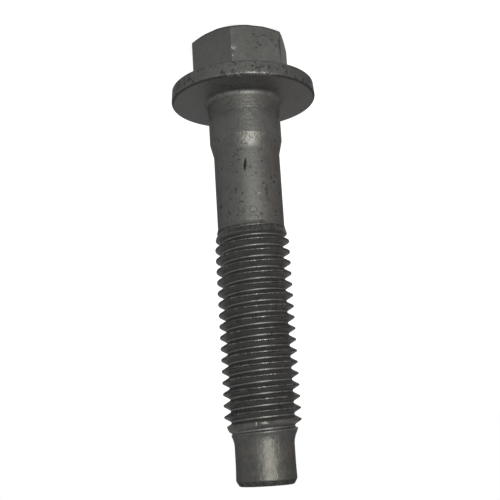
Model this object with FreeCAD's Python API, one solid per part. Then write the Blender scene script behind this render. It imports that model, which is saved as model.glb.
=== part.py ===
# Hexagon flange bolt with a full collar, a reduced shank and an unthreaded dog point.
#
# One forged, rolled and turned piece. The origin is the centre of the bearing face,
# which is the underside of the flange. +Z runs along the shank towards the dog point,
# the head lies below z = 0, and two flats of the hexagon face +X and -X.
# Lengths are millimetres and angles are degrees.
import FreeCAD, Part
import math
import os

# Hexagon head
across_flats = 14.65
head_height = 10.45
crown_flat_diameter = 14.8
crown_chamfer_angle = 28.5

# Flange
flange_diameter = 23.8
rim_height = 2.35
rim_draft_angle = 4.5
rim_edge_chamfer = 0.2
flange_slope_angle = 20.0

# Collar and reduced shank
collar_diameter = 11.8
collar_length = 7.05
underhead_fillet = 0.8
step_half_angle = 13.5
shank_diameter = 10.72

# Thread, coarse right-hand metric
thread_diameter = 11.92
thread_pitch = 1.75
thread_flank_angle = 60.0
thread_start = 21.4
thread_run_in_half_angle = 14.0
thread_end = 51.85
groove_start = 21.04
groove_start_angle = 116.0
groove_run_in_turns = 1.6

# Dog point
dog_cone_half_angle = 24.7
dog_cone_toe_half_angle = 12.5
dog_cone_toe_length = 1.55
dog_diameter = 9.2
dog_lip_diameter = 9.32
dog_lip_length = 2.1
length_under_head = 61.5
end_chamfer_half_angle = 32.0
end_chamfer_length = 0.85

# Helix points per turn, turns of the threaded rod ahead of the groove, how far the blank
# stands proud of the crests, and how far the groove starts clear of the shank
points_per_turn = 12
lead_turns = 1.75
overshoot = 0.1
run_in_clearance = 0.2


def tangent(angle):
    return math.tan(math.radians(angle))


# Worked out from the values above
flange_radius = flange_diameter / 2
rim_back_radius = flange_radius - rim_height * tangent(rim_draft_angle)
collar_radius = collar_diameter / 2
shank_radius = shank_diameter / 2
crest_radius = thread_diameter / 2
dog_radius = dog_diameter / 2
lip_radius = dog_lip_diameter / 2
toe_radius = dog_radius + dog_cone_toe_length * tangent(dog_cone_toe_half_angle)
toe_start = thread_end + (crest_radius - toe_radius) / tangent(dog_cone_half_angle)
dog_start = toe_start + dog_cone_toe_length

# Thread form: a vee whose crest is cut off by an eighth of its height, and whose rounded
# root lies a sixth of its height above the apex
flank_run = tangent(thread_flank_angle / 2)
vee_height = thread_pitch / 2 / flank_run
crest_truncation = vee_height / 8
root_truncation = vee_height / 6
vee_apex_radius = crest_radius + crest_truncation - vee_height
root_radius = vee_apex_radius + root_truncation


def revolved(outline):
    """Solid of revolution about Z from a closed outline of (radius, z) points."""
    points = [FreeCAD.Vector(radius, 0, z) for radius, z in outline]
    face = Part.Face(Part.makePolygon(points + [points[0]]))
    return face.revolve(FreeCAD.Vector(0, 0, 0), FreeCAD.Vector(0, 0, 1), 360)


def blank():
    """Flange, collar, shank, thread blank and dog point in one revolve.

    The thread blank stands proud of the crests, which the thread die trims. The fillet
    under the head is two cones between three points of its arc.
    """
    proud_radius = crest_radius + overshoot
    flange_back = -rim_height - rim_back_radius * tangent(flange_slope_angle)
    step_end = collar_length + (collar_radius - shank_radius) / tangent(step_half_angle)
    run_in_end = thread_start + (proud_radius - shank_radius) / tangent(thread_run_in_half_angle)
    cone_start = thread_end - overshoot / tangent(dog_cone_half_angle)
    chamfer_start = length_under_head - end_chamfer_length
    end_radius = lip_radius - end_chamfer_length * tangent(end_chamfer_half_angle)
    rim_edge_depth = rim_edge_chamfer * tangent(rim_draft_angle)
    fillet_inset = underhead_fillet * (1 - math.sqrt(0.5))
    return revolved([
        (0, flange_back),
        (rim_back_radius, -rim_height),
        (flange_radius - rim_edge_depth, -rim_edge_chamfer),
        (flange_radius - rim_edge_chamfer, 0),
        (collar_radius + underhead_fillet, 0),
        (collar_radius + fillet_inset, fillet_inset),
        (collar_radius, underhead_fillet),
        (collar_radius, collar_length),
        (shank_radius, step_end),
        (shank_radius, thread_start),
        (proud_radius, run_in_end),
        (proud_radius, cone_start),
        (toe_radius, toe_start),
        (dog_radius, dog_start),
        (dog_radius, chamfer_start - dog_lip_length),
        (lip_radius, chamfer_start),
        (end_radius, length_under_head),
        (0, length_under_head),
    ])


def hexagon():
    """Hexagonal prism, from the crown to the back of the rim, its crown corners turned off.

    Its first corner is half a side's angle from +X, so that two flats face +X and -X.
    """
    corner_radius = across_flats / math.sqrt(3)
    side_angle = math.radians(360 / 6)
    corners = []
    for index in range(6):
        angle = side_angle * (index + 0.5)
        corners.append(FreeCAD.Vector(corner_radius * math.cos(angle),
                                      corner_radius * math.sin(angle), -head_height))
    height = FreeCAD.Vector(0, 0, head_height - rim_height)
    prism = Part.Face(Part.makePolygon(corners + [corners[0]])).extrude(height)
    crown_radius = crown_flat_diameter / 2
    chamfer_rise = corner_radius * tangent(crown_chamfer_angle)
    crown = revolved([
        (0, -head_height),
        (crown_radius, -head_height),
        (crown_radius + corner_radius, -head_height + chamfer_rise),
        (crown_radius + corner_radius, 0),
        (0, 0),
    ])
    return prism.common(crown)


def groove_lift(turn):
    """How far the thread form stands off its full depth while the groove runs in."""
    share = min(max(turn - lead_turns, 0.0) / groove_run_in_turns, 1.0)
    full_lift = shank_radius + run_in_clearance - root_radius
    return full_lift * (1 + math.cos(math.pi * share)) / 2


def thread_rail(radius, offset, turns):
    """One helix of the thread form, as a curve whose parameter counts turns."""
    points = []
    parameters = []
    for index in range(turns * points_per_turn + 1):
        turn = index / points_per_turn
        lift = groove_lift(turn)
        angle = math.radians(groove_start_angle + 360 * (turn - lead_turns))
        height = groove_start + thread_pitch * (turn - lead_turns) + offset
        points.append(FreeCAD.Vector((radius + lift) * math.cos(angle),
                                     (radius + lift) * math.sin(angle),
                                     height + lift * flank_run))
        parameters.append(turn)
    curve = Part.BSplineCurve()
    curve.interpolate(Points=points, Parameters=parameters)
    return curve


def threaded_rod(turns):
    """Screw-shaped solid, ruled turn by turn between the helices of its section.

    Over one pitch the section is the crest, a flank down to the root and one back up.
    Each flank is ruled in two strips, split half way down.
    """
    crest_half = crest_truncation * flank_run
    middle_radius = (crest_radius + root_radius) / 2
    middle_half = (middle_radius - vee_apex_radius) * flank_run
    section = [
        (crest_radius, crest_half - thread_pitch / 2),
        (middle_radius, -middle_half),
        (root_radius, 0),
        (middle_radius, middle_half),
    ]
    rails = [thread_rail(radius, offset, turns) for radius, offset in section]
    crest_rail = thread_rail(crest_radius, -thread_pitch / 2 - crest_half, turns + 1)

    def span(rail, turn):
        piece = rail.copy()
        piece.segment(turn, turn + 1)
        return piece.toShape()

    faces = []
    next_crest = span(crest_rail, 0)
    for turn in range(turns):
        edges = [next_crest] + [span(rail, turn) for rail in rails]
        next_crest = span(crest_rail, turn + 1)
        edges.append(next_crest)
        for low, high in zip(edges, edges[1:]):
            faces.append(Part.makeRuledSurface(low, high, 1))
    for turn in (0, turns):
        first = crest_rail.value(turn)
        last = crest_rail.value(turn + 1)
        low = FreeCAD.Vector(0, 0, first.z)
        high = FreeCAD.Vector(0, 0, last.z)
        profile = [low, first] + [rail.value(turn) for rail in rails] + [last, high, low]
        faces.append(Part.Face(Part.makePolygon(profile)))
        faces.append(Part.makeRuledSurface(Part.makeLine(low, high), span(crest_rail, turn)))
    shell = Part.makeShell(faces)
    shell.sewShape()
    return Part.makeSolid(shell)


def thread_die():
    """Sleeve whose bore is the thread, from the reduced shank to the dog point.

    The rod that cuts it has one turn more than it takes to pass through the sleeve.
    """
    foot = groove_start - thread_pitch / 2
    sleeve = Part.makeCylinder(flange_radius, dog_start - foot, FreeCAD.Vector(0, 0, foot))
    turns = math.ceil((dog_start - groove_start) / thread_pitch + lead_turns) + 1
    return sleeve.cut(threaded_rod(turns))


def flange_bolt():
    """Whole bolt: the blank joined to the hexagon, with the thread cut into it."""
    return blank().fuse(hexagon()).cut(thread_die()).Solids[0]


os.makedirs("parts", exist_ok=True)
flange_bolt().exportStep("parts/flange_bolt.step")
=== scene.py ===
"""Looks of the hexagon flange bolt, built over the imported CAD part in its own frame.

Two meshes replace the CAD node: the head with its collar and shank, and the threaded end
with the dog point. Lengths are millimetres and angles are degrees, and a mesh is turned
into metres when it is made.
"""
import math
from types import SimpleNamespace

import bmesh
import bpy
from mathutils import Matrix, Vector
import numpy as np


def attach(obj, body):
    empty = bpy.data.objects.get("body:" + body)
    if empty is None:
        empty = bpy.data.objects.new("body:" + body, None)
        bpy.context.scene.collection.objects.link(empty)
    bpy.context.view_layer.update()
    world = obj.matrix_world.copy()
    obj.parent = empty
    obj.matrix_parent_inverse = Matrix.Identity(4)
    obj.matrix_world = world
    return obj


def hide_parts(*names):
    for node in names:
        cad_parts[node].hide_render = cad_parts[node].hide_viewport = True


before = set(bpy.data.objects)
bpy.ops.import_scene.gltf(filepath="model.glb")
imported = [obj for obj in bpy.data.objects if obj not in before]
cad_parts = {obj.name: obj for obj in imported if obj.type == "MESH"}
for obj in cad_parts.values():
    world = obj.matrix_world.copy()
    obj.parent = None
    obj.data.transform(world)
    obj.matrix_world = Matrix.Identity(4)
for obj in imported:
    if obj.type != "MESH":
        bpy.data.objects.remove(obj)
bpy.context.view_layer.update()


def tangent(angle):
    """Tangent of an angle in degrees."""
    return math.tan(math.radians(angle))


# Unit of the tables in metres, and how near two points of a mesh are when they become one
MM = 0.001
MERGE_DISTANCE = 0.0005

# Hexagon and flange, with the sizes that the part's source has. A side of the hexagon
# spans twice HALF_SIDE, and its corners lie at HALF_SIDE and every whole side from there.
APOTHEM = 7.325
HALF_SIDE = 30.0
HEAD_HEIGHT = 10.45
CROWN_RADIUS = 7.4
CROWN_SLOPE = tangent(28.5)
FLANGE_RADIUS = 11.9
RIM_HEIGHT = 2.35
RIM_BACK_RADIUS = FLANGE_RADIUS - RIM_HEIGHT * tangent(4.5)
FLANGE_SLOPE_ANGLE = 20.0
FLANGE_SLOPE = tangent(FLANGE_SLOPE_ANGLE)

# Collar and reduced shank
COLLAR_RADIUS = 5.9
COLLAR_END = 7.05
SHANK_RADIUS = 5.36
STEP_END = COLLAR_END + (COLLAR_RADIUS - SHANK_RADIUS) / tangent(13.5)

# Thread
THREAD_START = 21.4
THREAD_END = 51.85
RUN_IN_SLOPE = tangent(14.0)
CREST_RADIUS = 5.96
PITCH = 1.75
FLANK_ANGLE = 30.0
FLANK_RUN = tangent(FLANK_ANGLE)
GROOVE_START = 21.04
GROOVE_START_AZIMUTH = 116.0
GROOVE_RUN_IN = 1.6
RUN_IN_CLEARANCE = 0.2
VEE = PITCH / 2 / FLANK_RUN
VEE_APEX = CREST_RADIUS - VEE * 7 / 8
ROOT_ROUNDING = VEE / 6
ROOT_RADIUS = VEE_APEX + ROOT_ROUNDING

# Dog point
DOG_RADIUS = 4.6
DOG_START = THREAD_END + (CREST_RADIUS - DOG_RADIUS) / tangent(24.7)
LIP_START = 58.55
LIP_RADIUS = 4.66
LENGTH = 61.5

# Roundings that only the meshes have
HEX_EDGE_ROUNDING = 0.28
FOOT_FILLET = 0.45
CROWN_EDGE_INSET = 0.12
CROWN_EDGE_DROP = 0.03
CREST_ROUNDING = 0.13

# Columns of points round the axis, and where the two meshes meet on the shank
HEAD_COLUMNS = 288
THREAD_COLUMNS = 180
SEAM_Z = 18.5

# Rows of points on the crown, down the hexagon's wall and round the fillet at its foot
CROWN_ROWS = 9
WALL_ROWS = 29
FOOT_FILLET_ROWS = 8


# Helpers for places and meshes
def round_axis(radius, azimuth, z):
    """Points at a distance from the axis, an azimuth and a height, each a number or an array."""
    angle = np.radians(azimuth)
    parts = np.broadcast_arrays(radius * np.cos(angle), radius * np.sin(angle), z)
    return np.stack(parts, -1)


def directions(azimuth):
    """Unit vectors outwards and round the axis at an azimuth."""
    return round_axis(1.0, azimuth, 0.0), round_axis(1.0, azimuth + 90, 0.0)


def on_flat(azimuth, across, z):
    """Place on the flat that faces azimuth, by its distance from the flat's middle line."""
    outward, sideways = directions(azimuth)
    return tuple(outward * APOTHEM + sideways * across + (0, 0, z))


def on_round(azimuth, radius, z):
    """Place at an azimuth, a distance from the axis and a height."""
    return tuple(round_axis(radius, azimuth, z))


def rounded(corners):
    """Line of (r, z) through the corners, each rounded by its radius in a few steps.

    A corner is (r, z, radius, steps), and a radius of 0 keeps it sharp.
    """
    line = []
    for index, (r, z, radius, steps) in enumerate(corners):
        corner = np.array([r, z])
        if radius == 0:
            line.append(corner)
            continue
        before = corners[index - 1][:2] - corner
        after = corners[index + 1][:2] - corner
        before /= np.linalg.norm(before)
        after /= np.linalg.norm(after)
        half = math.acos(before @ after) / 2
        middle = (before + after) / np.linalg.norm(before + after)
        centre = corner + middle * radius / math.sin(half)
        reach = radius / math.tan(half)
        first = corner + before * reach - centre
        last = corner + after * reach - centre
        turn = math.atan2(first[0] * last[1] - first[1] * last[0], first @ last)
        for angle in np.linspace(0, turn, steps + 1):
            quarter_on = np.array([-first[1], first[0]])
            line.append(centre + first * math.cos(angle) + quarter_on * math.sin(angle))
    return np.array(line)


def filled_in(line, longest):
    """The (r, z) line with points added, so that no stretch of it is longer than longest."""
    points = [line[0]]
    for start, end in zip(line, line[1:]):
        count = max(1, math.ceil(np.linalg.norm(end - start) / longest))
        points.extend(start + (end - start) * step / count for step in range(1, count + 1))
    return np.array(points)


def quads_between(rows):
    """Quads between rows of vertex numbers, each row joined to the next."""
    corners = [rows[:-1, :-1], rows[:-1, 1:], rows[1:, 1:], rows[1:, :-1]]
    return np.stack(corners, -1).reshape(-1, 4)


def ring_faces(rings, columns, first=0):
    """Quads between closed rings, whose vertices are numbered in order from first."""
    numbers = first + np.arange(rings * columns).reshape(rings, columns)
    return quads_between(np.concatenate([numbers, numbers[:, :1]], 1))


def make_piece(name, points, faces):
    """Smooth object from points in millimetres, with points that coincide joined."""
    mesh = bpy.data.meshes.new(name)
    mesh.from_pydata((points * MM).tolist(), [], faces.tolist())
    work = bmesh.new()
    work.from_mesh(mesh)
    bmesh.ops.remove_doubles(work, verts=work.verts, dist=MERGE_DISTANCE * MM)
    bmesh.ops.dissolve_degenerate(work, edges=work.edges, dist=MERGE_DISTANCE * MM)
    bmesh.ops.recalc_face_normals(work, faces=work.faces)
    work.to_mesh(mesh)
    work.free()
    mesh.shade_smooth()
    piece = bpy.data.objects.new(name, mesh)
    bpy.context.scene.collection.objects.link(piece)
    return piece


# Head, flange, collar and the first of the shank. The middle flat is the one that faces
# the camera most, and a lean turns a mark or a dent anticlockwise, seen from outside.
MIDDLE_FLAT = 240
GOUGE_AZIMUTH = 264.9
GOUGE_Z = 12.28
GOUGE_LEAN = -7.3
DING_ACROSS = 3.88
DING_Z = -6.1

# Dents in the metal: place, half sizes outwards, round the axis and along it, lean, depth
DENTS = [
    (on_round(GOUGE_AZIMUTH, SHANK_RADIUS, GOUGE_Z), (0.5, 0.32, 1.4), GOUGE_LEAN, 0.045),
    (on_flat(MIDDLE_FLAT, DING_ACROSS, DING_Z), (0.6, 0.5, 0.5), 0.0, 0.12),
]


def hexagon_reach(azimuth):
    """Distance from the axis to the hexagon's wall in a direction, its edges rounded."""
    from_corner = np.radians(azimuth % (2 * HALF_SIDE) - HALF_SIDE)
    half_side = math.radians(HALF_SIDE)
    flat = APOTHEM / np.cos(half_side - np.abs(from_corner))
    arm = (APOTHEM - HEX_EDGE_ROUNDING) / math.cos(half_side)
    inside = HEX_EDGE_ROUNDING ** 2 - (arm * np.sin(from_corner)) ** 2
    arc = arm * np.cos(from_corner) + np.sqrt(np.maximum(inside, 0))
    arc_end = half_side - math.atan(arm * math.sin(half_side) / APOTHEM)
    return np.where(np.abs(from_corner) < arc_end, arc, flat)


def head_azimuths():
    """Azimuths of the head's columns: evenly spaced, and closer at the rounded edges."""
    even = np.arange(HEAD_COLUMNS) * 360 / HEAD_COLUMNS
    corners = np.arange(HALF_SIDE, 360, 2 * HALF_SIDE)
    near_corners = corners[:, None] + np.arange(-1.0, 1.25, 0.25)
    return np.unique(np.round(np.append(even, near_corners), 4))


def crown_points(reach, edge, wall_top):
    """(r, z) points from the axis over the crown and its turned-off corner to the wall."""
    inner = [(r, -HEAD_HEIGHT) for r in np.linspace(0, edge - CROWN_EDGE_INSET, CROWN_ROWS)]
    drop = CROWN_EDGE_DROP if edge == reach else 0.4 * CROWN_EDGE_DROP
    rounding = [(edge - 0.05, -HEAD_HEIGHT + 0.004), (edge, -HEAD_HEIGHT + drop)]
    slope = []
    for share in (0.08, 0.25, 0.5, 0.75, 0.92, 0.985):
        rise = CROWN_EDGE_DROP + (wall_top + HEAD_HEIGHT) * share
        slope.append((edge + (reach - edge) * share, -HEAD_HEIGHT + rise))
    return inner + rounding + slope


def wall_points(reach, wall_top):
    """(r, z) points down the wall and round the fillet at its foot, on the flange's slope."""
    arc = 90 - FLANGE_SLOPE_ANGLE
    foot = -RIM_HEIGHT - (RIM_BACK_RADIUS - reach) * FLANGE_SLOPE
    wall_end = foot - FOOT_FILLET * tangent(arc / 2)
    wall = [(reach, wall_top + 0.06)]
    wall.extend((reach, z) for z in np.linspace(wall_top + 0.15, wall_end, WALL_ROWS))
    fillet = []
    for angle in np.radians(np.linspace(0, arc, FOOT_FILLET_ROWS)[1:]):
        fillet.append((reach + FOOT_FILLET * (1 - math.cos(angle)),
                       wall_end + FOOT_FILLET * math.sin(angle)))
    return wall + fillet


def head_column(reach):
    """(r, z) points down one side of the head, in a direction where its wall is at reach."""
    edge = min(CROWN_RADIUS, reach)
    wall_top = -HEAD_HEIGHT + (reach - edge) * CROWN_SLOPE
    return np.array(crown_points(reach, edge, wall_top) + wall_points(reach, wall_top))


def flange_line():
    """(r, z) line from the flange's slope over the rim, the collar and the step to the seam."""
    on_slope = 1.2
    line = rounded([
        (RIM_BACK_RADIUS - on_slope, -RIM_HEIGHT - on_slope * FLANGE_SLOPE, 0, 0),
        (RIM_BACK_RADIUS, -RIM_HEIGHT, 0.16, 5),
        (FLANGE_RADIUS, 0.0, 0.42, 8),
        (COLLAR_RADIUS + 0.1, 0.0, 0.7, 9),
        (COLLAR_RADIUS, 3.0, 1.2, 5),
        (COLLAR_RADIUS, COLLAR_END, 1.2, 3),
        (SHANK_RADIUS, STEP_END, 2.4, 4),
        (SHANK_RADIUS, SEAM_Z, 0, 0),
    ])
    return filled_in(line, 0.2)


def dented(points, place, half_sizes, lean, depth):
    """Points pushed towards the axis inside an ellipsoid, most at its middle."""
    outward, sideways = directions(math.degrees(math.atan2(place[1], place[0])))
    turn = math.radians(lean)
    along = np.array([0, 0, math.cos(turn)]) - sideways * math.sin(turn)
    axes = np.array([outward, np.cross(along, outward), along])
    local = (points - place) @ axes.T / half_sizes
    share = np.clip(1 - np.sum(local ** 2, 1), 0, 1)
    return points - np.outer(depth * share, outward)


def build_head():
    """Head, flange, collar and the first of the shank, with the dents of this one bolt."""
    azimuths = head_azimuths()
    lower = flange_line()
    join_shares = np.linspace(0, 1, 6)[1:-1, None]
    columns = []
    for azimuth, reach in zip(azimuths, hexagon_reach(azimuths)):
        upper = head_column(reach)
        join = upper[-1] + (lower[0] - upper[-1]) * join_shares
        line = np.concatenate([upper, join, lower])
        columns.append(round_axis(line[:, 0], azimuth, line[:, 1]))
    rings = np.array(columns).transpose(1, 0, 2)
    points = rings.reshape(-1, 3)
    for place, half_sizes, lean, depth in DENTS:
        points = dented(points, place, half_sizes, lean, depth)
    return make_piece("bolt_head", points, ring_faces(len(rings), len(azimuths)))


# Threaded end and dog point. Turns are counted from where the groove passes azimuth 0, and
# plain rings take over from the thread's rows on the dog point.
GROOVE_AT_ZERO = GROOVE_START - PITCH * GROOVE_START_AZIMUTH / 360
FIRST_TURN = -4
LAST_TURN = 21
RINGS_START = 56.0
CHAMFER_START = 60.62
END_EDGE_RADIUS = 4.16
END_EDGE_Z = 61.47
END_FACE_RADIUS = 3.4


def pitch_section():
    """One pitch of the thread as (offset, radius), from one root to just before the next.

    Half of it is the root's arc, the flank and the crest's arc, and the rest mirrors it.
    """
    half = []
    for angle in np.radians([0, 20, 40, 60]):
        half.append((ROOT_ROUNDING * math.sin(angle),
                     VEE_APEX + ROOT_ROUNDING * (2 - math.cos(angle))))
    flank = math.radians(FLANK_ANGLE)
    crest_centre = CREST_RADIUS - CREST_ROUNDING
    shoulder_radius = crest_centre + CREST_ROUNDING * math.sin(flank)
    shoulder_offset = (shoulder_radius - VEE_APEX) * FLANK_RUN
    crest_offset = shoulder_offset + CREST_ROUNDING * math.cos(flank)
    foot_offset, foot_radius = half[-1]
    for share in (0.33, 0.67):
        half.append((foot_offset + (shoulder_offset - foot_offset) * share,
                     foot_radius + (shoulder_radius - foot_radius) * share))
    for angle in np.radians([60, 40, 18]):
        half.append((crest_offset - CREST_ROUNDING * math.sin(angle),
                     crest_centre + CREST_ROUNDING * math.cos(angle)))
    half.append((PITCH / 2, CREST_RADIUS))
    return half + [(PITCH - offset, radius) for offset, radius in half[-2:0:-1]]


def blank_radius(z):
    """Radius of the blank before the groove is rolled, from the shank to the dog point."""
    run_in = SHANK_RADIUS + np.maximum(z - THREAD_START, 0) * RUN_IN_SLOPE
    line = rounded([
        (CREST_RADIUS, THREAD_START, 0, 0),
        (CREST_RADIUS, THREAD_END, 0.6, 4),
        (DOG_RADIUS, DOG_START, 3.8, 10),
        (DOG_RADIUS, LIP_START, 0, 0),
    ])
    run_out = np.interp(z, line[:, 1], line[:, 0])
    return np.minimum(run_in, run_out)


def groove_lift(turn):
    """How far the thread form stands off its full depth, by turns from the groove's start."""
    share = np.clip(turn / GROOVE_RUN_IN, 0, 1)
    return (SHANK_RADIUS + RUN_IN_CLEARANCE - ROOT_RADIUS) * (1 + np.cos(np.pi * share)) / 2


def thread_rows(section, azimuths):
    """Points along the thread, each row of them one turn of a helix.

    Rows beyond the seam, or beyond where the dog point's rings start, gather there.
    """
    rows = []
    for turn in range(FIRST_TURN, LAST_TURN + 1):
        for offset, radius in section:
            full_depth_z = GROOVE_AT_ZERO + PITCH * (turn + azimuths / 360) + offset
            lift = groove_lift((full_depth_z - GROOVE_START) / PITCH)
            z = full_depth_z + lift * FLANK_RUN
            kept_z = np.clip(z, SEAM_Z, RINGS_START)
            on_thread = np.minimum(radius + lift, blank_radius(z))
            rows.append(round_axis(np.where(kept_z == z, on_thread, blank_radius(kept_z)),
                                   azimuths, kept_z))
    return np.array(rows)


def helix_faces(rows, rows_per_pitch):
    """Quads between the rows, each of which goes on as the row one pitch further along."""
    numbers = np.arange(rows.size // 3).reshape(rows.shape[:2])
    closed = np.concatenate([numbers[:-rows_per_pitch], numbers[rows_per_pitch:, :1]], 1)
    quads = quads_between(closed)
    heights = rows.reshape(-1, 3)[quads, 2]
    return quads[np.ptp(heights, axis=1) > 0]


def dog_line():
    """(r, z) line from the dog point's plain stretch over its lip to the end face."""
    line = rounded([
        (DOG_RADIUS, RINGS_START, 0, 0),
        (DOG_RADIUS, LIP_START, 0, 0),
        (LIP_RADIUS, CHAMFER_START, 0.5, 4),
        (END_EDGE_RADIUS, END_EDGE_Z, 0.4, 5),
        (END_FACE_RADIUS, LENGTH, 0, 0),
        (0.0, LENGTH, 0, 0),
    ])
    return filled_in(line, 0.4)


def build_thread():
    """The rest of the shank, the thread and the dog point."""
    azimuths = np.arange(THREAD_COLUMNS) * 360 / THREAD_COLUMNS
    section = pitch_section()
    rows = thread_rows(section, azimuths)
    line = dog_line()
    rings = round_axis(line[:, :1], azimuths, line[:, 1:])
    points = np.concatenate([rows, rings]).reshape(-1, 3)
    faces = np.concatenate([
        helix_faces(rows, len(section)),
        ring_faces(len(rings), THREAD_COLUMNS, first=rows.size // 3),
    ])
    return make_piece("bolt_thread", points, faces)


# Material: sizes of grain are millimetres, and a mask is 1 in its place and 0 elsewhere
class Graph:
    """Adds nodes to a material, a call for each, and gives back the output to link on."""

    def __init__(self, name):
        self.made = bpy.data.materials.new(name)
        self.made.use_nodes = True
        self.tree = self.made.node_tree
        self.shader = self.tree.nodes["Principled BSDF"]

    def put(self, socket, value):
        """Links an output to an input, or gives the input a value of its own."""
        if isinstance(value, bpy.types.NodeSocket):
            self.tree.links.new(value, socket)
        else:
            socket.default_value = value

    def shade(self, name, value):
        """Sets or links one input of the material's shader."""
        self.put(self.shader.inputs[name], value)

    def add(self, kind, values, output=0, **settings):
        """New node with its settings, and its inputs' values by name or number."""
        node = self.tree.nodes.new("ShaderNode" + kind)
        for name, setting in settings.items():
            setattr(node, name, setting)
        for place, value in values.items():
            self.put(node.inputs[place], value)
        return node.outputs[output]

    def math(self, operation, *values):
        """One number from several, taken two at a time where there are more."""
        out = values[0]
        for value in values[1:]:
            out = self.add("Math", {0: out, 1: value}, operation=operation)
        return out

    def total(self, *values):
        return self.math("ADD", *values)

    def times(self, *values):
        return self.math("MULTIPLY", *values)

    def most(self, *values):
        return self.math("MAXIMUM", *values)

    def vector(self, operation, *values):
        return self.add("VectorMath", dict(enumerate(values)), operation=operation)

    def length(self, vector):
        return self.add("VectorMath", {0: vector}, output="Value", operation="LENGTH")

    def scaled(self, vector, factor):
        return self.add("VectorMath", {0: vector, "Scale": factor}, operation="SCALE")

    def ramp(self, value, low, high, start=0.0, end=1.0):
        """Smooth step from start at low to end at high."""
        values = {"Value": value, "From Min": low, "From Max": high, "To Min": start, "To Max": end}
        return self.add("MapRange", values, interpolation_type="SMOOTHSTEP")

    def fall(self, value, low, high):
        """Smooth step from 1 at low to 0 at high."""
        return self.ramp(value, low, high, 1.0, 0.0)

    def band(self, value, low, high, soft):
        """1 between low and high, fading to 0 over the soft width on each side."""
        return self.times(self.ramp(value, low - soft, low), self.fall(value, high, high + soft))

    def noise(self, where, grain, detail=2.0, roughness=0.5, distortion=0.0):
        """Cloudy noise whose grains are about as large as grain says."""
        values = {"Vector": where, "Scale": 1 / grain, "Detail": detail, "Roughness": roughness,
                  "Distortion": distortion}
        return self.add("TexNoise", values)

    def streaks(self, along, grain):
        """Noise that changes along one number only."""
        values = {"W": along, "Scale": 1 / grain, "Detail": 3.0, "Roughness": 0.6}
        return self.add("TexNoise", values, noise_dimensions="1D")

    def blend(self, share, first, second):
        """Number between two, by share."""
        return self.add("MapRange", {"Value": share, "To Min": first, "To Max": second})

    def tint(self, share, first, second):
        """Colour between two, by share."""
        values = {0: share, 6: first, 7: second}
        return self.add("Mix", values, output=2, data_type="RGBA")

    def spot(self, where, place, half_sizes, azimuth, lean, edge):
        """1 in an ellipsoid as far out as edge, fading to 0 at its surface.

        The half sizes run outwards at the azimuth, round the axis and along it.
        """
        values = {
            "Vector": where,
            "Location": place,
            "Rotation": (math.radians(lean), 0, math.radians(azimuth)),
            "Scale": half_sizes,
        }
        local = self.add("Mapping", values, vector_type="TEXTURE")
        return self.fall(self.length(local), edge, 1.0)

    def round_spot(self, where, azimuth, radius, z, half_sizes, lean=0, edge=0.5):
        """Spot on a round face of the bolt."""
        return self.spot(where, on_round(azimuth, radius, z), half_sizes, azimuth, lean, edge)

    def flat_spot(self, where, across, z, half_sizes, lean=0, edge=0.5):
        """Spot on the middle flat, by its distance from the flat's middle line."""
        place = on_flat(MIDDLE_FLAT, across, z)
        return self.spot(where, place, half_sizes, MIDDLE_FLAT, lean, edge)


# Colours of the coat in its places, and of what shows on it or through it. Some of them are painted
# light and painted shade, as marked.
SHANK_COAT = (0.072, 0.072, 0.07, 1)
HEAD_COAT = (0.076, 0.076, 0.074, 1)
# Painted light: lighter colour for the collar band just under the flange, which lies in the flange's
# shade
SHELTERED_PAINTED_LIGHT = (0.106, 0.106, 0.103, 1)
# Painted highlight: lighter colour along the fillet under the flange, where the light catches it
FILLET_PAINTED_HIGHLIGHT = (0.1, 0.1, 0.098, 1)
THREAD_COAT = (0.047, 0.047, 0.046, 1)
BURNISHED_ROOT = (0.108, 0.109, 0.109, 1)
DOG_COAT = (0.0635, 0.0635, 0.0615, 1)
# Painted shade: darker colour on the side of the dog point towards negative x
DOG_SIDE_PAINTED_SHADE = (0.06, 0.06, 0.057, 1)
DOG_STAIN = (0.077, 0.071, 0.065, 1)
# Brownish colour, darker than the coat, on the side towards negative x: a brown cast with painted
# shade on that side
BROWNISH_SHADED = (0.067, 0.058, 0.055, 1)
BROWNISH_SHADED_THREAD = (0.05, 0.042, 0.04, 1)
WORN_COAT = (0.1, 0.1, 0.099, 1)
BARE_METAL = (0.2, 0.196, 0.186, 1)

# Where one look gives way to the next: distances from the axis, then heights
ROOT_TO_FLANK = (5.0, 5.1)
FLANK_TO_CREST = (5.74, 5.88)
FILLET_TO_BEARING_FACE = (6.2, 7.0)
FLANGE_TO_RIM = (11.4, 11.6)
HEAD_TO_FLANGE = (-2.5, -2.3)
THREAD_TO_DOG = (54.0, 55.5)
RIM_SPAN = (-2.6, 0.0)
SHANK_SPAN = (9.5, 21.0)

# Size and reach of the wobble that makes the edges of marks ragged
WOBBLE_GRAIN = 0.5
WOBBLE_REACH = 0.7

# A placed mark reaches this far outwards and inwards. It fades over most of its width, so
# its spot is larger than the table says.
MARK_REACH = 0.6
PIT_MARGIN = 1.3
MARK_MARGIN = 1.35

# Pits on the middle flat: across, z, half width, half height
FLAT_PITS = [
    (0.5, -8.95, 0.5, 0.16),
    (-1.45, -8.85, 0.5, 0.2),
    (-0.5, -8.7, 0.9, 0.1),
    (-0.3, -7.5, 0.35, 0.2),
    (-0.7, -7.15, 0.3, 0.25),
    (0.0, -6.6, 0.35, 0.2),
    (-2.7, -8.3, 0.4, 0.25),
    (-3.4, -7.3, 0.2, 0.3),
]

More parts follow.
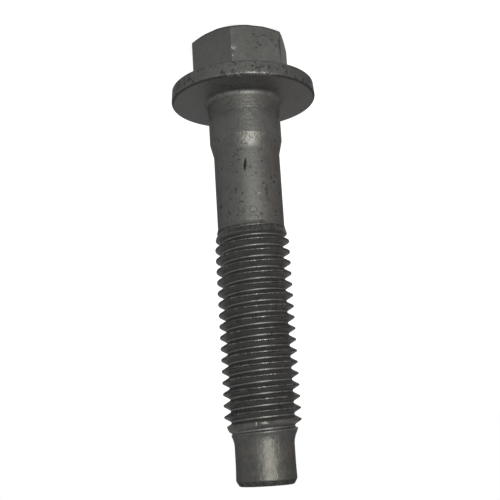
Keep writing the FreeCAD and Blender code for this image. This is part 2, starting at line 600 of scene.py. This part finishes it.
# Pits and scratches on the shank: azimuth, z, half width, half height, lean
SHANK_MARKS = [
    (296.5, 15.4, 0.24, 0.2, 0),
    (283.4, 16.3, 0.17, 0.8, 4),
    (271.1, 17.0, 0.2, 0.26, -30),
    (273.9, 18.3, 0.44, 0.16, -20),
    (276.8, 19.8, 0.4, 0.13, 8),
    (283.7, 20.3, 0.28, 0.22, 0),
    (234.5, 11.7, 0.22, 0.18, 0),
    (248.0, 13.8, 0.3, 0.18, -20),
    (235.4, 15.4, 0.14, 0.42, -35),
    (240.4, 20.3, 0.26, 0.26, 0),
    (256.3, 20.2, 0.5, 0.13, -8),
    (252.6, 20.6, 0.32, 0.18, -20),
    (229.7, 16.7, 0.18, 1.3, -3),
    (208.7, 13.8, 0.34, 0.24, 0),
    (212.0, 14.9, 0.32, 0.22, 0),
    (217.9, 14.3, 0.26, 0.5, 0),
    (212.3, 19.7, 0.36, 0.26, 0),
    (213.2, 20.5, 0.28, 0.22, 0),
    (277.8, 10.6, 0.6, 0.13, -20),
    (284.1, 10.7, 0.13, 0.4, -20),
    (274.1, 11.4, 0.5, 0.13, -33),
    (269.2, 9.6, 0.18, 0.45, -40),
]

# Smears on the dog point, in the same terms
DOG_SMEARS = [
    (222.8, 56.0, 0.35, 0.7, 0),
    (223.5, 58.2, 0.3, 0.6, 0),
    (216.0, 60.1, 0.5, 0.3, 0),
    (281.0, 60.1, 0.6, 0.3, 0),
    (291.0, 57.0, 0.7, 0.14, -10),
]


def add_places(g, at):
    """Where a point of the surface is, plainly and with a wobble that makes edges ragged."""
    at.where = g.scaled(g.add("TexCoord", {}, output="Object"), 1 / MM)
    at.x = g.add("SeparateXYZ", {0: at.where}, output="X")
    at.z = g.add("SeparateXYZ", {0: at.where}, output="Z")
    at.radius = g.length(g.vector("MULTIPLY", at.where, (1, 1, 0)))
    wobble = g.add("TexNoise", {"Vector": at.where, "Scale": 1 / WOBBLE_GRAIN}, output="Color")
    shift = g.vector("SUBTRACT", wobble, (0.5, 0.5, 0.5))
    at.shaken = g.vector("ADD", at.where, g.scaled(shift, WOBBLE_REACH))


def add_grain(g, at):
    """Grain of the coat, from blotches down to its crystals, and its marks of turning."""
    at.blotches = g.noise(at.where, 2.6, 3.0, 0.6)
    at.grain = g.noise(at.where, 0.6, 3.0, 0.65)
    at.crystals = g.noise(at.where, 0.26, 2.0, 0.6)
    at.lengthways = g.noise(g.vector("MULTIPLY", at.where, (1, 1, 0.35)), 0.7)
    at.turned_collar = g.times(g.streaks(at.z, 0.35), g.band(at.z, 0.9, 3.6, 1.5))
    at.turned_end = g.times(g.streaks(at.radius, 0.3), g.ramp(at.z, LENGTH - 0.2, LENGTH - 0.05))


def add_zones(g, at):
    """Masks of the part's own faces."""
    in_thread = g.band(at.z, THREAD_START + 1.0, THREAD_END + 1.5, 0.35)
    at.crest = g.times(in_thread, g.ramp(at.radius, CREST_RADIUS - 0.07, CREST_RADIUS - 0.03))
    at.root = g.times(in_thread, g.fall(at.radius, *ROOT_TO_FLANK))
    past_root = g.ramp(at.radius, *ROOT_TO_FLANK)
    flank = g.times(in_thread, past_root, g.fall(at.radius, *FLANK_TO_CREST))
    under_flange = g.times(g.ramp(at.z, -0.12, -0.02), g.fall(at.z, 0.3, 0.7))
    bearing_face = g.times(under_flange, g.ramp(at.radius, *FILLET_TO_BEARING_FACE))
    at.matt = g.most(flank, bearing_face)
    at.dark = g.most(at.matt, at.crest)
    # Painted highlight: band of the fillet under the flange that is coloured lighter
    fillet_height = g.times(g.ramp(at.z, 0.1, 0.25), g.fall(at.z, 0.55, 0.9))
    at.fillet = g.times(fillet_height, g.fall(at.radius, 6.5, 6.75))
    # Painted light: the collar band just under the flange, in the flange's shade, gets a lighter
    # colour and less metal
    sheltered_height = g.times(g.ramp(at.z, 0.3, 0.7), g.ramp(at.z, 0.8, 3.2, 0.55, 0.0))
    at.sheltered = g.times(sheltered_height, g.fall(at.radius, 6.4, 7.0))
    at.on_head = g.fall(at.z, *HEAD_TO_FLANGE)
    at.on_rim = g.times(g.ramp(at.radius, *FLANGE_TO_RIM), g.band(at.z, *RIM_SPAN, 0.1))
    at.on_shank = g.band(at.z, *SHANK_SPAN, 1.0)
    at.on_dog = g.ramp(at.z, *THREAD_TO_DOG)


def add_wear(g, at):
    """Masks of crests and of the rim's edge where rubbing has laid the coat thin."""
    first_crest = g.round_spot(at.shaken, 262, 5.7, 23.0, (0.5, 2.2, 0.22), edge=0.3)
    at.worn_start = g.times(first_crest, g.ramp(at.crystals, 0.42, 0.5))
    patches = g.times(g.ramp(g.noise(at.where, 1.3, 3.0, 0.7), 0.46, 0.54),
                      g.ramp(at.crystals, 0.42, 0.54))
    worn_crest = g.times(g.most(at.crest, at.worn_start), patches)
    at.rubbed_front = g.round_spot(at.where, 254, FLANGE_RADIUS, -0.3, (3.0, 5.5, 1.6))
    rim_edge = g.times(at.on_rim, g.ramp(at.z, -0.8, -0.3))
    worn_rim = g.times(rim_edge, g.ramp(at.crystals, 0.46, 0.62),
                       g.blend(at.rubbed_front, 0.25, 1.0))
    at.worn = g.most(worn_crest, worn_rim)


def scattered_marks(g, at):
    """Pits and curled scratches all round, like those that the photograph shows."""
    specks = g.ramp(g.noise(at.where, 1.1, 3.0, 0.7, distortion=0.7), 0.6, 0.72)
    bent = g.noise(at.where, 1.6, 3.0, distortion=1.2)
    contour = g.fall(g.add("Math", {0: g.total(bent, -0.5)}, operation="ABSOLUTE"), 0.008, 0.022)
    curls = g.times(contour, g.ramp(g.noise(at.where, 1.9), 0.5, 0.6))
    marks = g.most(g.times(specks, 0.7), g.times(curls, 0.75))
    return g.times(marks, g.blend(g.most(at.on_head, at.on_dog), 1.0, 0.4))


def placed_marks(g, at):
    """Pits, scratches and the dark corner at the places where the photograph shows them."""
    corner = g.flat_spot(at.shaken, -4.1, -7.2, (0.9, 0.32, 2.8), edge=0.3)
    marks = [g.times(corner, 0.6)]
    for across, z, half_width, half_height in FLAT_PITS:
        half_sizes = (MARK_REACH, PIT_MARGIN * half_width, PIT_MARGIN * half_height)
        marks.append(g.times(g.flat_spot(at.shaken, across, z, half_sizes, edge=0.2), 0.8))
    for table, radius, strength in ((SHANK_MARKS, SHANK_RADIUS, 0.85), (DOG_SMEARS, DOG_RADIUS, 0.4)):
        for azimuth, z, half_width, half_height, lean in table:
            half_sizes = (MARK_REACH, MARK_MARGIN * half_width, MARK_MARGIN * half_height)
            mark = g.round_spot(at.shaken, azimuth, radius, z, half_sizes, lean, edge=0.15)
            marks.append(g.times(mark, strength))
    loop = (at.shaken, 255.8, SHANK_RADIUS, 19.6)
    outside = g.round_spot(*loop, (MARK_REACH, 0.75, 0.7), edge=0.8)
    inside = g.round_spot(*loop, (MARK_REACH, 0.55, 0.5), edge=0.7)
    marks.append(g.times(g.math("SUBTRACT", outside, inside), 0.5))
    return g.most(*marks)


def dirt_and_painted_shade(g, at):
    """Painted shade along the crown's edge, along the rim's back edge and round the rim's lower
    corner, dark blots on the rim, and darkening at the thread's start and on the end chamfer.
    """
    # Painted shade along the crown's edge, where the rounding at the top of the wall turns away from
    # the light
    past_crown = g.most(g.times(g.total(at.radius, -CROWN_RADIUS), CROWN_SLOPE), 0.0)
    below_crown = g.math("SUBTRACT", g.total(at.z, HEAD_HEIGHT), past_crown)
    crown_edge = g.times(g.band(below_crown, 0.04, 0.18, 0.06), 0.9)
    # Painted shade along the rim's back edge, in the crease at the hexagon's foot
    rim_back = g.times(g.ramp(at.radius, 11.3, 11.6), g.fall(at.z, -2.2, -1.9))
    rim_blots = g.ramp(g.noise(at.where, 0.8, 3.0, 0.7), 0.5, 0.62)
    rim = g.times(g.most(rim_back, at.on_rim), rim_blots, 0.7)
    # Painted shade round the rim's lower corner, weaker at the rubbed front
    rim_corner = g.times(g.band(at.radius, 11.5, 11.8, 0.12), g.ramp(at.z, -0.3, -0.15))
    rim_line = g.times(rim_corner, g.ramp(at.rubbed_front, 0.0, 1.0, 0.9, 0.2))
    thread_foot = g.times(g.band(at.z, THREAD_START + 0.4, THREAD_START + 1.5, 0.25),
                          g.ramp(at.radius, 5.42, 5.5))
    start = g.times(thread_foot, g.ramp(at.grain, 0.4, 0.6, 0.4, 1.0))
    end = g.times(g.ramp(at.z, 60.55, 60.8), g.ramp(at.grain, 0.35, 0.6), 0.8)
    return g.most(crown_edge, rim, rim_line, start, end)


def add_marks(g, at):
    """Masks of the dark marks together with the painted shade at edges, and of the places where the
    metal is bare.
    """
    at.scattered = scattered_marks(g, at)
    at.dark_marks = g.most(at.scattered, placed_marks(g, at), dirt_and_painted_shade(g, at))
    at.gouge = g.round_spot(at.where, GOUGE_AZIMUTH, SHANK_RADIUS, GOUGE_Z, (0.5, 0.31, 1.45),
                            GOUGE_LEAN, edge=0.4)
    ding = g.flat_spot(at.shaken, DING_ACROSS, DING_Z, (0.8, 0.26, 0.5), lean=35)
    ding_foot = g.flat_spot(at.shaken, 4.1, -4.9, (0.5, 0.2, 0.2), edge=0.6)
    dings = g.times(g.most(ding, ding_foot), 0.9)
    at.curl = g.round_spot(at.where, 251.5, 5.65, 7.9, (0.5, 0.14, 0.42), lean=40, edge=0.3)
    burr = g.round_spot(at.shaken, 243.6, SHANK_RADIUS, 16.95, (0.5, 0.18, 0.34), lean=-50, edge=0.3)
    last_crest_tick = g.round_spot(at.shaken, 271.5, 5.8, 52.36, (0.4, 0.14, 0.35))
    last_crest_blob = g.round_spot(at.shaken, 258.5, 5.8, 52.36, (0.4, 0.75, 0.24), edge=0.4)
    at.bare = g.most(dings, at.curl, g.times(burr, 0.7), last_crest_tick, last_crest_blob)


def coat_colour(g, at):
    """Colour of the coat in its places, stained, worn and marked, and uneven by its grain, with
    painted light and painted shade where marked.
    """
    colour = g.tint(at.on_head, SHANK_COAT, HEAD_COAT)
    # Painted light on the collar band under the flange
    colour = g.tint(at.sheltered, colour, SHELTERED_PAINTED_LIGHT)
    # Painted highlight on the fillet
    colour = g.tint(at.fillet, colour, FILLET_PAINTED_HIGHLIGHT)
    colour = g.tint(at.dark, colour, THREAD_COAT)
    colour = g.tint(at.root, colour, BURNISHED_ROOT)
    colour = g.tint(at.on_dog, colour, DOG_COAT)
    # Painted shade on the dog point's side towards negative x
    colour = g.tint(g.times(at.on_dog, g.fall(at.x, -3.4, -0.8)), colour, DOG_SIDE_PAINTED_SHADE)
    stains = g.ramp(g.noise(at.where, 1.2, 3.0, 0.6), 0.42, 0.62)
    colour = g.tint(g.times(at.on_dog, stains, 0.6), colour, DOG_STAIN)
    # Brownish cast with painted shade on the side towards negative x, below the flange and weaker on
    # the collar
    brownish_and_shade = g.times(g.ramp(g.noise(at.where, 3.2, 3.0, 0.6), 0.3, 0.55),
                       g.fall(at.x, -5.0, -2.5),
                       g.ramp(at.z, -1.0, 0.0),
                       g.ramp(g.band(at.z, 0.8, 8.0, 0.6), 0.0, 1.0, 1.0, 0.3),
                       0.55)
    colour = g.tint(brownish_and_shade, colour, g.tint(at.dark, BROWNISH_SHADED, BROWNISH_SHADED_THREAD))
    colour = g.tint(at.worn, colour, WORN_COAT)
    colour = g.tint(at.bare, colour, BARE_METAL)
    tone = g.total(g.blend(at.blotches, 0.8, 1.2),
                   g.blend(at.grain, -0.22, 0.22),
                   g.blend(at.crystals, -0.14, 0.14))
    # Dark marks darken the tone, and with them the painted shade at the crown's edge and on the rim
    tone = g.times(tone,
                   g.ramp(at.dark_marks, 0.0, 1.0, 1.0, 0.42),
                   g.ramp(at.gouge, 0.0, 1.0, 1.0, 0.15))
    return g.scaled(colour, tone)


def coat_roughness(g, at):
    """Roughness of the coat, less where it is worn."""
    return g.total(
        g.blend(at.matt, 0.43, 0.52),
        g.blend(at.grain, -0.08, 0.08),
        g.blend(at.blotches, -0.08, 0.08),
        g.times(at.worn, -0.2),
        g.times(at.root, 0.05),
        g.times(at.fillet, 0.1),
        g.times(at.on_shank, 0.1),
        g.times(at.on_dog, 0.055),
    )


def coat_normal(g, at):
    """Relief of the coat, in millimetres, as a normal."""
    broken = g.most(at.on_rim, at.crest, at.worn_start)
    relief = g.total(
        g.times(at.grain, g.total(0.05, g.times(at.on_dog, 0.02), g.times(at.on_head, -0.03))),
        g.times(at.crystals, g.blend(g.most(at.matt, at.on_head), 0.018, 0.008)),
        g.times(at.lengthways, at.on_dog, 0.05),
        g.times(at.turned_collar, 0.02),
        g.times(at.crystals, broken, 0.05),
        g.times(at.turned_end, 0.02),
        g.times(at.scattered, -0.015),
        g.times(at.curl, 0.03),
    )
    return g.add("Bump", {"Height": relief, "Distance": MM, "Strength": 1.0})


def coated_steel():
    """Dark coat on forged steel, matt in the thread and under the flange, rubbed elsewhere.

    What the parts of the graph share, such as places and masks, is kept in at by name.
    """
    g = Graph("coated_steel")
    at = SimpleNamespace()
    add_places(g, at)
    add_grain(g, at)
    add_zones(g, at)
    add_wear(g, at)
    add_marks(g, at)
    g.shade("Base Color", coat_colour(g, at))
    g.shade("Metallic", g.blend(g.most(at.matt, at.sheltered), 1.0, 0.4))
    g.shade("Roughness", coat_roughness(g, at))
    g.shade("Specular IOR Level", 0.3)
    g.shade("Specular Tint", (0.45, 0.45, 0.45, 1))
    g.shade("Normal", coat_normal(g, at))
    return g.made


# Floor, world, lamp and camera, in metres. The floor lies a hair below the crown.
WHITE = (1, 1, 1, 1)
FLOOR_GREY = (0.4, 0.4, 0.4, 1)
FLOOR_GLOW = 0.75
FLOOR_HALF_SIZE = 3.0
FLOOR_GAP = 0.00002
LAMP_COLOUR = (1.0, 0.98, 0.885)
LAMP_POWER = 3.0
LAMP_SIZE = 0.22
LAMP_DISTANCE = 0.5
LAMP_AZIMUTH = 246.5
LAMP_ELEVATION = 8.0
LAMP_TARGET = (0.0, 0.0, 0.03)
CAMERA_PLACE = (-0.022129, -0.138264, 0.055721)
CAMERA_ANGLES = (-77.5783, -3.4526, 169.9810)
CAMERA_LENS = 64.52
CAMERA_SENSOR = 36.0
CAMERA_NEAR = 0.01


def pale_floor():
    """Grey that takes the bolt's shadow, lit up to white where the camera or a gloss sees it."""
    g = Graph("pale_floor")
    rays = g.tree.nodes.new("ShaderNodeLightPath").outputs
    seen = g.most(rays["Is Camera Ray"], rays["Is Glossy Ray"], rays["Is Transmission Ray"])
    g.shade("Base Color", FLOOR_GREY)
    g.shade("Roughness", 0.9)
    g.shade("Emission Color", WHITE)
    g.shade("Emission Strength", g.times(seen, FLOOR_GLOW))
    return g.made


def build_floor():
    """Floor that the bolt stands on with its crown."""
    half = FLOOR_HALF_SIZE
    z = -HEAD_HEIGHT * MM - FLOOR_GAP
    corners = [(-half, -half, z), (half, -half, z), (half, half, z), (-half, half, z)]
    mesh = bpy.data.meshes.new("floor")
    mesh.from_pydata(corners, [], [(0, 1, 2, 3)])
    mesh.materials.append(pale_floor())
    floor = bpy.data.objects.new("floor", mesh)
    bpy.context.scene.collection.objects.link(floor)


def build_world():
    """Even white light from all round."""
    world = bpy.data.worlds.new("studio")
    bpy.context.scene.world = world
    world.use_nodes = True
    background = world.node_tree.nodes["Background"]
    background.inputs["Color"].default_value = WHITE
    background.inputs["Strength"].default_value = 1.0


def build_lamp():
    """Soft square lamp in front of the bolt, turned towards the middle of its shank."""
    light = bpy.data.lights.new("key", "AREA")
    light.size = LAMP_SIZE
    light.energy = LAMP_POWER
    light.color = LAMP_COLOUR
    lamp = bpy.data.objects.new("key", light)
    bpy.context.scene.collection.objects.link(lamp)
    elevation = math.radians(LAMP_ELEVATION)
    away = Vector(on_round(LAMP_AZIMUTH, math.cos(elevation), math.sin(elevation)))
    lamp.location = Vector(LAMP_TARGET) + away * LAMP_DISTANCE
    lamp.rotation_euler = away.to_track_quat("Z", "Y").to_euler()


def build_camera():
    """Camera at the photograph's viewing angle, turned over so that the head is at the top."""
    camera = bpy.data.objects.new("camera", bpy.data.cameras.new("camera"))
    camera.data.lens = CAMERA_LENS
    camera.data.sensor_width = CAMERA_SENSOR
    camera.data.clip_start = CAMERA_NEAR
    camera.location = CAMERA_PLACE
    camera.rotation_euler = [math.radians(angle) for angle in CAMERA_ANGLES]
    bpy.context.scene.collection.objects.link(camera)
    bpy.context.scene.camera = camera


head = build_head()
thread = build_thread()
coat = coated_steel()
for piece in (head, thread):
    piece.data.materials.append(coat)
    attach(piece, "root")
    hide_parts("flange_bolt")
build_floor()
build_world()
build_lamp()
build_camera()
bpy.context.scene.view_settings.view_transform = "Standard"
